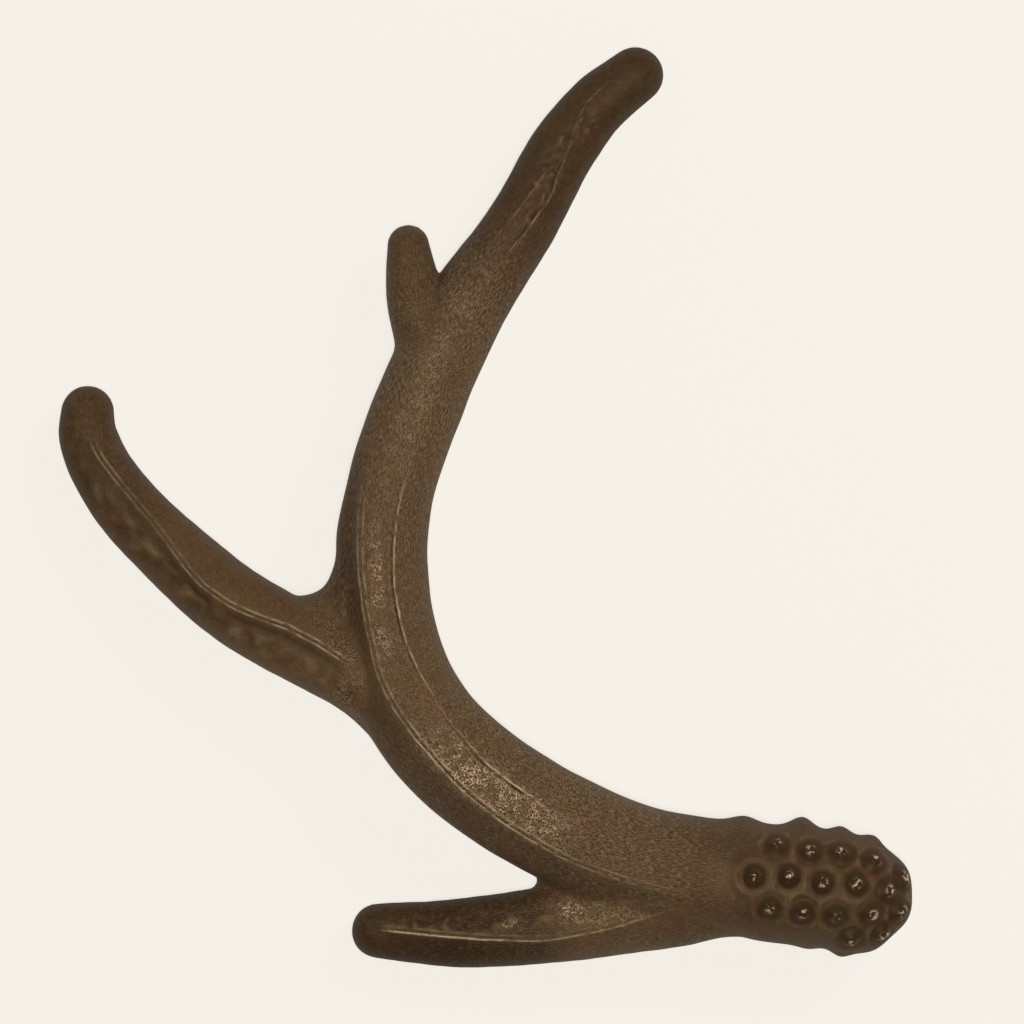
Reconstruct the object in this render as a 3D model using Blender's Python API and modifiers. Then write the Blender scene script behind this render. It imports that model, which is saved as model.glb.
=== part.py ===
"""A moulded deer antler lying on its side: a curved beam with a knobbed base, and three blunt tines.

Metres, +Z up. The origin is on the surface that the antler rests on, under the middle of its box.
+Y runs from the base's side to the crown, and +X from the side tine to the base. The antler is made
in one piece, so it is modelled whole and then sawn at its three forks into four named solids.
"""

import math

import bmesh
import bpy
import numpy as np
from mathutils import Matrix, Vector

MM = 0.001

# Driving dimensions, in millimetres. Each station is (x, y, height of the centre line, half width).
BEAM = (
    (74.8, -79.6, 12.7, 11.6),
    (53.5, -77.2, 12.8, 11.9),
    (28.5, -72.0, 13.2, 11.3),
    (3.0, -58.9, 13.6, 11.2),
    (-14.2, -43.2, 13.8, 10.8),
    (-20.6, -22.5, 13.4, 9.3),
    (-20.8, 0.5, 12.6, 9.0),
    (-13.6, 23.0, 11.8, 9.1),
    (-4.5, 41.5, 10.6, 8.3),
    (6.8, 58.5, 8.8, 7.2),
    (15.2, 73.8, 7.2, 6.9),
    (22.6, 83.4, 5.9, 6.3),
    (30.6, 89.8, 5.5, 5.8),
)
SIDE_TINE = (
    (-19.5, -38.0, 13.6, 8.2),
    (-30.4, -32.2, 12.9, 8.2),
    (-51.8, -19.8, 10.6, 7.9),
    (-71.4, -4.0, 8.0, 7.1),
    (-79.4, 6.6, 6.6, 6.5),
    (-82.9, 14.4, 5.7, 6.0),
    (-83.2, 19.6, 5.2, 5.4),
)
BROW_TINE = (
    (52.0, -79.5, 12.4, 9.6),
    (34.0, -82.6, 11.2, 8.9),
    (16.0, -85.8, 9.4, 8.1),
    (-5.0, -88.2, 6.9, 7.1),
    (-22.6, -87.9, 5.1, 5.6),
)
SPUR = (
    (-8.5, 27.0, 11.4, 8.2),
    (-12.2, 36.5, 11.2, 7.4),
    (-15.0, 44.5, 10.6, 6.1),
    (-16.6, 53.6, 10.0, 4.3),
)
FORK_WEB = (
    (-33.5, -24.5, 13.2, 5.5),
    (-24.5, -17.0, 13.2, 7.0),
)
SECTION_HEIGHT = 0.92   # a branch's height as a share of its width
SECTION_POWER = 2.25    # 2 would be an ellipse, and more is squarer
SECTION_SIDES = 24
RING_GAP = 2.5          # between the rings of a branch
END_RINGS = 4           # rings that round off a branch's end
PEARL_RINGS = 10        # rings of pearls round the base, past the one at its pole
PEARLS_IN_RING = 6
PEARL_PITCH = 3.5       # over the surface, from one ring of pearls to the next
PEARL_START = 7.0       # over the surface, from the pole to the first ring
PEARL_TURN = 20.0       # degrees that the first ring's first pearl stands off the top
PEARL_RADIUS = 2.9
PEARL_HEIGHT = 1.5      # how far a pearl stands out of the base
VOXEL = 0.9             # grid on which the branches are fused
TRIANGLE_SHARE = 0.095  # of the fused surface's triangles that are kept
SAW_KERF = 0.3          # gap that the saw leaves at a fork
SAW_LENGTH = 80.0       # of the block that holds a sawn-off tine
SAW_HEIGHT = 60.0

# Each fork's saw cut: its middle, the direction of the tine that it frees, and its width.
SAW_CUTS = {
    "side_tine": ((-38.3, -26.5), (-0.97, 0.25), 90.0),
    "brow_tine": ((9.0, -88.3), (-1.0, -0.03), 21.0),
    "spur_tine": ((-13.8, 41.0), (-0.8, 0.6), 28.0),
}
ANTLER_BROWN = (0.105, 0.066, 0.035, 1.0)


def clear_scene():
    for obj in list(bpy.data.objects):
        bpy.data.objects.remove(obj)


def collection(name):
    made = bpy.data.collections.new(name)
    bpy.context.scene.collection.children.link(made)
    return made


def smooth_line(stations):
    """Points about RING_GAP apart on a Catmull-Rom curve through the stations, as (x, y, z, half width)."""
    known = np.array(stations, float)
    known = np.vstack([2 * known[0] - known[1], known, 2 * known[-1] - known[-2]])
    points = []
    for before, start, end, after in zip(known, known[1:], known[2:], known[3:]):
        steps = max(2, round(np.linalg.norm((end - start)[:3]) / RING_GAP))
        for t in np.arange(steps) / steps:
            points.append(0.5 * (2 * start + (end - before) * t
                                 + (2 * before - 5 * start + 4 * end - after) * t**2
                                 + (3 * start - before - 3 * end + after) * t**3))
    points.append(known[-2])
    return np.array(points)


def rounded_end(points):
    """The rings of a half ball past the last point."""
    ahead = points[-1, :3] - points[-2, :3]
    ahead /= np.linalg.norm(ahead)
    radius = points[-1, 3]
    turns = np.linspace(0, 0.47 * math.pi, END_RINGS + 1)[1:]
    return np.array([[*(points[-1, :3] + ahead * radius * math.sin(turn)), radius * math.cos(turn)]
                     for turn in turns])


def section():
    """The outline that every branch shares, one metre across each way from its middle."""
    outline = bpy.data.curves.new("section", "CURVE")
    outline.dimensions = "2D"
    spline = outline.splines.new("POLY")
    spline.points.add(SECTION_SIDES - 1)
    for i, point in enumerate(spline.points):
        turn = 2 * math.pi * i / SECTION_SIDES
        across = math.copysign(abs(math.cos(turn)) ** (2 / SECTION_POWER), math.cos(turn))
        up = math.copysign(abs(math.sin(turn)) ** (2 / SECTION_POWER), math.sin(turn))
        point.co = (across, SECTION_HEIGHT * up, 0, 1)
    spline.use_cyclic_u = True
    return bpy.data.objects.new("section", outline)


def branch(line, outline):
    """A closed mesh of the section swept along a line, still in millimetres."""
    curve = bpy.data.curves.new("branch", "CURVE")
    curve.dimensions = "3D"
    curve.twist_mode = "Z_UP"
    curve.bevel_mode = "OBJECT"
    curve.bevel_object = outline
    curve.use_fill_caps = True
    spline = curve.splines.new("POLY")
    spline.points.add(len(line) - 1)
    for point, (x, y, z, half_width) in zip(spline.points, line):
        point.co = (x, y, z, 1)
        point.radius = half_width
    swept = bpy.data.objects.new("branch", curve)
    bpy.context.scene.collection.objects.link(swept)
    bpy.context.view_layer.update()
    graph = bpy.context.evaluated_depsgraph_get()
    mesh = bpy.data.meshes.new_from_object(swept.evaluated_get(graph))
    bpy.data.objects.remove(swept)
    return mesh


def pearl_centres(line):
    """Where the base's pearls stand: one at its pole, then staggered rings over its end and along it."""
    centre = Vector(line[0, :3])
    outwards = (centre - Vector(line[8, :3])).normalized()
    upright = Vector((0, 0, 1))
    sideways = upright.cross(outwards)
    radius = float(line[0, 3])
    reach = radius + PEARL_HEIGHT - PEARL_RADIUS
    quarter = radius * math.pi / 2
    yield centre + reach * outwards
    for ring in range(PEARL_RINGS):
        walked = PEARL_START + ring * PEARL_PITCH
        lean = min(walked, quarter) / radius
        middle = centre - outwards * max(0.0, walked - quarter)
        for i in range(PEARLS_IN_RING):
            turn = math.radians(PEARL_TURN) + math.pi * (2 * i + ring % 2) / PEARLS_IN_RING
            spoke = math.cos(turn) * upright * SECTION_HEIGHT - math.sin(turn) * sideways
            yield middle + reach * (math.cos(lean) * outwards + math.sin(lean) * spoke)


def cast_antler():
    """The whole antler as one object in metres: its branches and pearls, fused and thinned out."""
    shape = bmesh.new()
    outline = section()
    beam_line = smooth_line(BEAM)
    base_end = rounded_end(beam_line[::-1])[::-1]
    shape.from_mesh(branch(np.vstack([base_end, beam_line, rounded_end(beam_line)]), outline))
    for stations in (SIDE_TINE, BROW_TINE, SPUR, FORK_WEB):
        line = smooth_line(stations)
        shape.from_mesh(branch(np.vstack([line, rounded_end(line)]), outline))
    bmesh.ops.remove_doubles(shape, verts=shape.verts, dist=0.001)
    for centre in pearl_centres(beam_line):
        bmesh.ops.create_icosphere(shape, subdivisions=3, radius=PEARL_RADIUS,
                                   matrix=Matrix.Translation(centre))
    bmesh.ops.scale(shape, vec=Vector((MM, MM, MM)), verts=shape.verts)
    mesh = bpy.data.meshes.new("cast_antler")
    shape.to_mesh(mesh)
    shape.free()
    bpy.data.objects.remove(outline)

    cast = bpy.data.objects.new("cast_antler", mesh)
    bpy.context.scene.collection.objects.link(cast)
    fuse = cast.modifiers.new("fuse", "REMESH")
    fuse.mode = "VOXEL"
    fuse.voxel_size = VOXEL * MM
    soften = cast.modifiers.new("soften", "SMOOTH")
    soften.factor = 0.5
    soften.iterations = 3
    thin = cast.modifiers.new("thin", "DECIMATE")
    thin.ratio = TRIANGLE_SHARE
    thin.use_collapse_triangulate = True
    return cast


def settled(cast):
    """The finished cast mesh, moved so that the bottom of its box is centred on the origin."""
    bpy.context.view_layer.update()
    graph = bpy.context.evaluated_depsgraph_get()
    mesh = bpy.data.meshes.new_from_object(cast.evaluated_get(graph))
    bpy.data.objects.remove(cast)
    corners = np.array([vertex.co for vertex in mesh.vertices])
    low, high = corners.min(axis=0), corners.max(axis=0)
    base = Vector(((low[0] + high[0]) / 2, (low[1] + high[1]) / 2, low[2]))
    mesh.transform(Matrix.Translation(-base))
    return mesh, base


def saw_block(name, middle, direction, width, base, extra, where):
    """A block whose one face is the saw cut, moved back by extra, so that it holds the sawn-off tine."""
    ahead = Vector((*direction, 0)).normalized()
    shape = bmesh.new()
    bmesh.ops.create_cube(shape, size=MM)
    bmesh.ops.scale(shape, vec=Vector((SAW_LENGTH + extra, width + 2 * extra, SAW_HEIGHT)), verts=shape.verts)
    mesh = bpy.data.meshes.new(name)
    shape.to_mesh(mesh)
    shape.free()
    block = bpy.data.objects.new(name, mesh)
    block.rotation_euler = (0, 0, math.atan2(ahead.y, ahead.x))
    block.location = Vector((*middle, 0)) * MM - base + ahead * (SAW_LENGTH - extra) / 2 * MM
    block.hide_render = True
    block.display_type = "WIRE"
    where.objects.link(block)
    return block


def cut(obj, block, operation):
    saw = obj.modifiers.new(f"{operation.lower()} {block.name}", "BOOLEAN")
    saw.operation = operation
    saw.object = block


def antler_material(name):
    material = bpy.data.materials.new(name)
    material.use_nodes = True
    surface = material.node_tree.nodes["Principled BSDF"]
    surface.inputs["Base Color"].default_value = ANTLER_BROWN
    surface.inputs["Roughness"].default_value = 0.42
    surface.inputs["Metallic"].default_value = 0.0
    return material


def solid(name, mesh, where):
    obj = bpy.data.objects.new(name, mesh.copy())
    obj.data.name = name
    obj.data.materials.clear()
    obj.data.materials.append(antler_material(name))
    obj.data.shade_smooth()
    obj.data.set_sharp_from_angle(angle=math.radians(50))
    where.objects.link(obj)
    return obj


def main():
    clear_scene()
    antler = collection("deer_antler")
    cutters = collection("cutters")
    mesh, base = settled(cast_antler())
    beam = solid("beam", mesh, antler)
    for name, (middle, direction, width) in SAW_CUTS.items():
        tine = solid(name, mesh, antler)
        end = saw_block(f"{name}_end", middle, direction, width, base, 0.0, cutters)
        kerf = saw_block(f"{name}_kerf", middle, direction, width, base, SAW_KERF, cutters)
        cut(tine, end, "INTERSECT")
        cut(beam, kerf, "DIFFERENCE")


main()
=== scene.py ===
# %% [markdown]
# # A moulded deer antler
#
# The object is a small antler cast in one piece from brown polymer. A curved beam rises from a base
# that is covered in round pearls, a long tine leaves it at the bend, a low tine lies beside the base,
# and a short spur stands below the crown. It lies flat on its side.
#
# The solid model already says where everything is and how big it is. This script gives it its skin:
# the creases that the mould was cut with, the pearls in their hollows, the stippled satin surface,
# and the faint parting line. It never moves a solid.

# %% Load the solid model
import math
from functools import partial

import bmesh
import bpy
import numpy as np
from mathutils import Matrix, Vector, noise


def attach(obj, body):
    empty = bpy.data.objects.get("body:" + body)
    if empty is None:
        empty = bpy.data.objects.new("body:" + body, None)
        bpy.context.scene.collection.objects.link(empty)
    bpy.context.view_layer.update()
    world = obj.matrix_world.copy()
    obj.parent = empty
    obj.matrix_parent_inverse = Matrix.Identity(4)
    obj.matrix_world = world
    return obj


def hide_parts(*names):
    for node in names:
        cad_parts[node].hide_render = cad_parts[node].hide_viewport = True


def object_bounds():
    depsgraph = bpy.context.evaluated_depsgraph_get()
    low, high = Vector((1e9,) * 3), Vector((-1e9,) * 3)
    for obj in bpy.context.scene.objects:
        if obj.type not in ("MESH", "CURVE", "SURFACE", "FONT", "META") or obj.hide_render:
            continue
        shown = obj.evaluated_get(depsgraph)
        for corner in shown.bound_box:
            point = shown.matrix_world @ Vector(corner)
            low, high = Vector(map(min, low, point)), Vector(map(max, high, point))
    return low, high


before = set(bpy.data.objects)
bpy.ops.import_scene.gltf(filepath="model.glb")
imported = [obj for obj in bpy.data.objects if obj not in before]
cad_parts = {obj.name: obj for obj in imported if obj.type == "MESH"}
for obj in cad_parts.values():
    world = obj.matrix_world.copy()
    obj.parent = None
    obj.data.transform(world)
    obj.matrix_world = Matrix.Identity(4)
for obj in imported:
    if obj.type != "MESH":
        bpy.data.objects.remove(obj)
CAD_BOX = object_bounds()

MM = 0.001
cad_low, cad_high = (np.array(corner) / MM for corner in CAD_BOX)
print("solid model, mm:", np.round(cad_high - cad_low, 1), "nodes:", sorted(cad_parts))

# %% [markdown]
# ## The branch lines
#
# Every branch of an antler is a tube round a smooth line, thick at its root and blunt at its tip.
# It could be sculpted freely or pushed out of a box, but a few stations on each line are easier to
# check and to change: a place, and the half width there. They follow the solid model's own stations,
# in millimetres from the middle of the surface that it lies on. A Catmull-Rom curve goes through all
# of them, so a station can be moved and the line just follows.

# %% The stations of each branch: x, y, height of the centre line, half width
BRANCHES = {
    "beam": (
        (74.8, -79.6, 12.7, 11.6),
        (53.5, -77.2, 12.8, 11.9),
        (28.5, -72.0, 13.2, 11.3),
        (2.9, -59.1, 13.6, 11.3),
        (-14.0, -43.1, 13.8, 10.9),
        (-20.6, -22.5, 13.4, 9.3),
        (-20.8, 0.5, 12.6, 9.0),
        (-13.6, 23.0, 11.8, 9.1),
        (-4.5, 41.5, 10.6, 8.3),
        (6.8, 58.5, 8.8, 7.2),
        (15.2, 73.8, 7.2, 6.9),
        (22.6, 83.4, 5.9, 6.3),
        (30.6, 89.8, 5.5, 5.8),
    ),
    "side_tine": (
        (-19.5, -38.0, 13.6, 8.2),
        (-30.4, -32.2, 12.9, 8.2),
        (-52.1, -20.3, 10.6, 8.0),
        (-71.1, -3.7, 8.0, 7.1),
        (-79.4, 6.6, 6.6, 6.5),
        (-82.9, 14.4, 5.7, 6.0),
        (-83.2, 19.9, 5.2, 5.4),
    ),
    "brow_tine": (
        (52.0, -79.5, 12.4, 9.6),
        (34.0, -82.6, 11.2, 8.9),
        (16.0, -85.9, 9.4, 8.0),
        (-5.0, -88.2, 6.9, 7.1),
        (-22.6, -87.9, 5.1, 5.6),
    ),
    "spur_tine": (
        (-8.5, 27.0, 11.4, 7.2),
        (-12.4, 36.5, 11.2, 7.2),
        (-15.2, 44.5, 10.6, 5.9),
        (-16.5, 54.2, 10.0, 4.3),
    ),
}
FORK_WEBS = (        # what fills the corners between the branches
    ((-38.5, -25.5, 10.6, 7.2), (-33.5, -24.0, 10.6, 7.0), (-28.8, -20.3, 10.8, 6.6),
     (-26.0, -13.0, 11.0, 6.0), (-24.3, -5.0, 11.6, 6.8), (-21.5, 6.0, 12.0, 7.1),
     (-19.0, 13.0, 12.0, 6.4)),
    ((-33.0, -33.0, 11.5, 5.5), (-24.5, -39.2, 11.5, 5.9), (-16.0, -47.0, 12.0, 6.0)),
    ((28.0, -77.5, 11.0, 6.0), (13.0, -78.0, 10.0, 3.1)),
)
FLATNESS = 0.92      # a branch's height as a share of its width
SQUARENESS = 2.25    # 2 is an ellipse, and more is squarer
LINE_STEP = 1.0      # mm between points on a line


def smooth_line(stations):
    """Points about LINE_STEP apart on a Catmull-Rom curve through the stations."""
    known = np.array(stations, float)
    known = np.vstack([2 * known[0] - known[1], known, 2 * known[-1] - known[-2]])
    points = []
    for before, start, end, after in zip(known, known[1:], known[2:], known[3:]):
        steps = max(2, round(np.linalg.norm((end - start)[:3]) / LINE_STEP))
        for t in np.arange(steps) / steps:
            points.append(0.5 * (2 * start + (end - before) * t
                                 + (2 * before - 5 * start + 4 * end - after) * t**2
                                 + (3 * start - before - 3 * end + after) * t**3))
    points.append(known[-2])
    return np.array(points)


LINES = {name: smooth_line(stations) for name, stations in BRANCHES.items()}
for name, line in LINES.items():
    run = np.linalg.norm(np.diff(line[:, :3], axis=0), axis=1).sum()
    root, tip = 2 * line[0, 3], 2 * line[-1, 3]
    print(f"{name}: {run:.0f} mm long, {root:.1f} mm thick at its root, {tip:.1f} at its tip")

# %% [markdown]
# ## Sweeping the branches with Geometry Nodes
#
# A tube that follows a line and changes its thickness is a rule, so a node tree makes it: the line
# becomes a Catmull-Rom spline, it is resampled evenly, and Curve to Mesh carries one section along it,
# scaled by the spline's own radius. Z Up normals keep the section level, because a mould's halves
# part along one plane. A ball on the base and on each tip rounds them off, and the roots have none,
# because they end inside the beam.

# %% Small helpers for node trees
def node(tree, kind, inputs=None, **settings):
    """A node with its settings, and with each input linked or given its value."""
    made = tree.nodes.new(kind)
    for key, value in settings.items():
        setattr(made, key, value)
    for key, value in (inputs or {}).items():
        if isinstance(value, bpy.types.NodeSocket):
            tree.links.new(value, made.inputs[key])
        else:
            made.inputs[key].default_value = value
    return made


def math_node(tree, operation, *values):
    """The output of a Math node."""
    return node(tree, "ShaderNodeMath", dict(enumerate(values)), operation=operation).outputs[0]


def vector_node(tree, operation, *values):
    """The output of a Vector Math node, whose Scale operation takes a vector and a number."""
    keys = (0, "Scale") if operation == "SCALE" else range(len(values))
    made = node(tree, "ShaderNodeVectorMath", dict(zip(keys, values)), operation=operation)
    return made.outputs["Vector"]


def float_curve(tree, value, spots):
    """The output of a Float Curve through some spots, from 0 to 1 each way."""
    made = node(tree, "ShaderNodeFloatCurve", {"Value": value})
    knots = made.mapping.curves[0].points
    while len(knots) < len(spots):
        knots.new(0.5, 0.5)
    for knot, spot in zip(knots, spots):
        knot.location = spot
    made.mapping.update()
    return made.outputs[0]


def tools(tree):
    """The first three helpers, for one tree."""
    return partial(node, tree), partial(math_node, tree), partial(vector_node, tree)


def new_tree(name, sockets):
    """A Geometry Nodes tree with a geometry input and output and the named inputs."""
    tree = bpy.data.node_groups.new(name, "GeometryNodeTree")
    tree.interface.new_socket("Geometry", in_out="INPUT", socket_type="NodeSocketGeometry")
    for label, kind in sockets.items():
        tree.interface.new_socket(label, in_out="INPUT", socket_type=f"NodeSocket{kind}")
    tree.interface.new_socket("Geometry", in_out="OUTPUT", socket_type="NodeSocketGeometry")
    return tree, tree.nodes.new("NodeGroupInput").outputs


def finish_tree(tree, geometry, material):
    """Ends a tree in Realize Instances and Set Material."""
    real = node(tree, "GeometryNodeRealizeInstances", {"Geometry": geometry})
    painted = node(tree, "GeometryNodeSetMaterial",
                   {"Geometry": real.outputs[0], "Material": material})
    output = tree.nodes.new("NodeGroupOutput")
    tree.links.new(painted.outputs[0], output.inputs[0])


def add_tree(obj, tree, values):
    """Puts a tree on an object and sets its inputs by their sockets' identifiers."""
    modifier = obj.modifiers.new(tree.name, "NODES")
    modifier.node_group = tree
    for item in tree.interface.items_tree:
        if item.in_out == "INPUT" and item.name in values:
            modifier[item.identifier] = values[item.name]


def in_scene(name, data):
    """A new object with this data, in the scene."""
    made = bpy.data.objects.new(name, data)
    bpy.context.scene.collection.objects.link(made)
    return made


def plain_mesh(obj, name):
    """The object's evaluated shape as a new plain mesh object, in place of the old one."""
    bpy.context.view_layer.update()
    graph = bpy.context.evaluated_depsgraph_get()
    mesh = bpy.data.meshes.new_from_object(obj.evaluated_get(graph))
    bpy.data.objects.remove(obj)
    return in_scene(name, mesh)


# %% The tree that sweeps a branch
CURVE_POINTS = 24    # points that a spline is worked out at between two stations
SECTION_SIDES = 64
BALL_RINGS = 24


def sweep_tree():
    """The tree that turns lines into tubes with rounded ends."""
    tree, given = new_tree("sweep_branches", {
        "Step": "Float", "Section Sides": "Int", "Flatness": "Float", "Squareness": "Float",
        "Material": "Material"})
    make, maths, vector = tools(tree)
    spline = make("GeometryNodeCurveSplineType", {"Curve": given["Geometry"]},
                  spline_type="CATMULL_ROM")
    fine = make("GeometryNodeSetSplineResolution",
                {"Geometry": spline.outputs[0], "Resolution": CURVE_POINTS})
    even = make("GeometryNodeResampleCurve",
                {"Curve": fine.outputs[0], "Length": given["Step"]}, mode="LENGTH")
    level = make("GeometryNodeSetCurveNormal", {"Curve": even.outputs[0]}, mode="Z_UP")
    radius = make("GeometryNodeInputRadius").outputs[0]

    ring = make("GeometryNodeCurvePrimitiveCircle",
                {"Resolution": given["Section Sides"], "Radius": 1.0})
    place = make("GeometryNodeInputPosition").outputs[0]
    split = make("ShaderNodeSeparateXYZ", {0: place}).outputs
    power = given["Squareness"]
    across = maths("POWER", maths("ABSOLUTE", split[0]), power)
    up = maths("POWER", maths("ABSOLUTE", split[1]), power)
    total, root = maths("ADD", across, up), maths("DIVIDE", -1.0, power)
    squared = vector("SCALE", place, maths("POWER", total, root))
    lower = make("ShaderNodeCombineXYZ", {"X": 1.0, "Y": given["Flatness"], "Z": 1.0}).outputs[0]
    section = make("GeometryNodeSetPosition", {
        "Geometry": ring.outputs[0], "Position": vector("MULTIPLY", squared, lower)})
    tubes = make("GeometryNodeCurveToMesh", {
        "Curve": level.outputs[0], "Profile Curve": section.outputs[0], "Scale": radius,
        "Fill Caps": True})

    tips = make("GeometryNodeCurveEndpointSelection", {"Start Size": 0, "End Size": 1}).outputs[0]
    index = make("GeometryNodeInputIndex").outputs[0]
    base = make("FunctionNodeCompare", {2: index, 3: 0},
                data_type="INT", operation="EQUAL").outputs[0]
    rounded = make("FunctionNodeBooleanMath", {0: tips, 1: base}, operation="OR").outputs[0]
    ball = make("GeometryNodeMeshUVSphere",
                {"Segments": given["Section Sides"], "Rings": BALL_RINGS, "Radius": 1.0})
    end_size = make("ShaderNodeCombineXYZ",
                    {"X": 1.0, "Y": 1.0, "Z": given["Flatness"]}).outputs[0]
    balls = make("GeometryNodeInstanceOnPoints", {
        "Points": level.outputs[0], "Selection": rounded, "Instance": ball.outputs[0],
        "Scale": vector("SCALE", end_size, radius)})
    both = make("GeometryNodeJoinGeometry")
    tree.links.new(tubes.outputs[0], both.inputs[0])
    tree.links.new(balls.outputs[0], both.inputs[0])
    finish_tree(tree, both.outputs[0], given["Material"])
    return tree


def line_object(name, lines):
    """A curve object with one poly spline through each set of stations."""
    curve = bpy.data.curves.new(name, "CURVE")
    curve.dimensions = "3D"
    for stations in lines:
        spline = curve.splines.new("POLY")
        spline.points.add(len(stations) - 1)
        for point, (x, y, z, half_width) in zip(spline.points, stations):
            point.co = (x * MM, y * MM, z * MM, 1)
            point.radius = half_width * MM
    return in_scene(name, curve)


antler_polymer = bpy.data.materials.new("antler_polymer")
swept = line_object("branch_lines", [*BRANCHES.values(), *FORK_WEBS])
add_tree(swept, sweep_tree(), {
    "Step": LINE_STEP * MM, "Section Sides": SECTION_SIDES, "Flatness": FLATNESS,
    "Squareness": SQUARENESS, "Material": antler_polymer})
skin = plain_mesh(swept, "antler_skin")
swept_size = np.round(np.array(skin.dimensions) / MM, 1)
print("swept branches:", len(skin.data.polygons), "faces, box mm", swept_size)

# %% [markdown]
# ## Fusing the branches
#
# The tubes still pass through each other. A Boolean union would join them and leave long thin faces at
# the forks. A voxel Remesh keeps only their common outside and gives one closed skin of even, small
# faces, which is what the sculpting below needs. A few rounds of smoothing then take the steps out of
# it, and more rounds at each fork leave the small fillet that a mould cutter leaves.

# %% Fuse and smooth
VOXEL = 0.50   # mm
SMOOTH_ROUNDS = 6
SMOOTH_SHARE = 0.5

fuse = skin.modifiers.new("fuse", "REMESH")
fuse.mode = "VOXEL"
fuse.voxel_size = VOXEL * MM
soften = skin.modifiers.new("soften", "SMOOTH")
soften.factor = SMOOTH_SHARE
soften.iterations = SMOOTH_ROUNDS
skin = plain_mesh(skin, "antler_skin")
print("fused skin:", len(skin.data.vertices), "points")


# %% Three shapes that the changes below fade with
def ramp(values, start, length):
    """0 at the start and before it, and 1 a length further on, which may be negative."""
    return np.clip((values - start) / length, 0, 1)


def bell(values, middle, width):
    """1 at the middle, and softly down to 0 on both sides of it."""
    return np.exp(-((values - middle) / width) ** 2)


def hump(share):
    """0 at shares 0 and 1, and 1 half way."""
    return 4 * share * (1 - share)


# %% Ease the forks
FORKS = ((-31.0, -20.0), (-25.0, -42.0), (16.0, -78.5), (24.0, -79.0), (-18.0, 33.0))    # x, y
FORK_REACH = 7.0     # mm
FORK_SHARE = 0.6     # of the way to its neighbours' middle that a point moves in each round
FORK_ROUNDS = 40


def vertex_places(mesh):
    """Where a mesh's points are, in mm."""
    corners = np.zeros(3 * len(mesh.vertices))
    mesh.vertices.foreach_get("co", corners)
    return corners.reshape(-1, 3) / MM


def set_places(mesh, places):
    """Moves a mesh's points to new places, in mm."""
    mesh.vertices.foreach_set("co", (places * MM).ravel())
    mesh.update()


def relax(mesh, places, share, rounds):
    """Moves each point towards the middle of its neighbours, by its share, some number of rounds."""
    ends = np.zeros(2 * len(mesh.edges), np.int64)
    mesh.edges.foreach_get("vertices", ends)
    first, second = ends.reshape(-1, 2).T
    count = len(places)
    neighbours = np.bincount(first, minlength=count) + np.bincount(second, minlength=count)
    for _ in range(rounds):
        middle = np.column_stack([
            np.bincount(first, axis[second], count) + np.bincount(second, axis[first], count)
            for axis in places.T]) / neighbours[:, None]
        places = places + share[:, None] * (middle - places)
    return places


skin_places = vertex_places(skin.data)
fork_gap = np.min([np.hypot(*(skin_places[:, :2] - fork).T) for fork in FORKS], axis=0)
fork_share = FORK_SHARE * bell(fork_gap, 0, FORK_REACH)
set_places(skin.data, relax(skin.data, skin_places, fork_share, FORK_ROUNDS))
print("eased", len(FORKS), "spots at the forks,", int((fork_gap < FORK_REACH).sum()), "points near them")

# %% [markdown]
# ## The pearls
#
# On a real antler the pearls are beads of bone round the burr. On this cast they are all one size and
# stand in staggered rings, each in a hollow of its own, so a rule places them: rings a fixed walk apart
# over the rounded end and along the base, every second ring turned half a step. Balls could be put
# there, but a cast has no seam round a pearl. So the tree works out the points, and then lifts the skin
# itself by how near each part of it is to one. A Float Curve holds the outline of one pearl, from its
# crown, down its side, through the hollow and over its rim. The rows beside the parting line and the
# pearl at the pole are left out here, because the mould could not let go of them: they are low mounds.

# %% The tree that raises the pearls
PEARL_REACH = 6.0                    # mm from a pearl's middle to where the skin is plain again
PEARL_OUTLINE = (                    # mm from the middle, mm above the skin
    (0.0, 1.7), (0.6, 1.58), (1.1, 1.25), (1.6, 0.78), (2.1, 0.3), (2.5, 0.02), (2.8, -0.02),
    (3.1, 0.14), (3.45, 0.34), (3.9, 0.32), (5.0, 0.1), (6.0, 0.0))
OUTLINE_FLOOR = -0.5                 # mm that stands for 0 on the Float Curve
OUTLINE_SPAN = 2.0                   # mm from there that stands for 1
SIDE_LIMIT = 0.5                     # cosine of the turn from upright at which the bare sides begin
LOW_SIDE, LOW_RING = 0.7, 4.5        # the low side of the base is bare sooner, past this ring
LUMPS_PER_M = 160.0                  # of the noise that makes the pearls uneven


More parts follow.
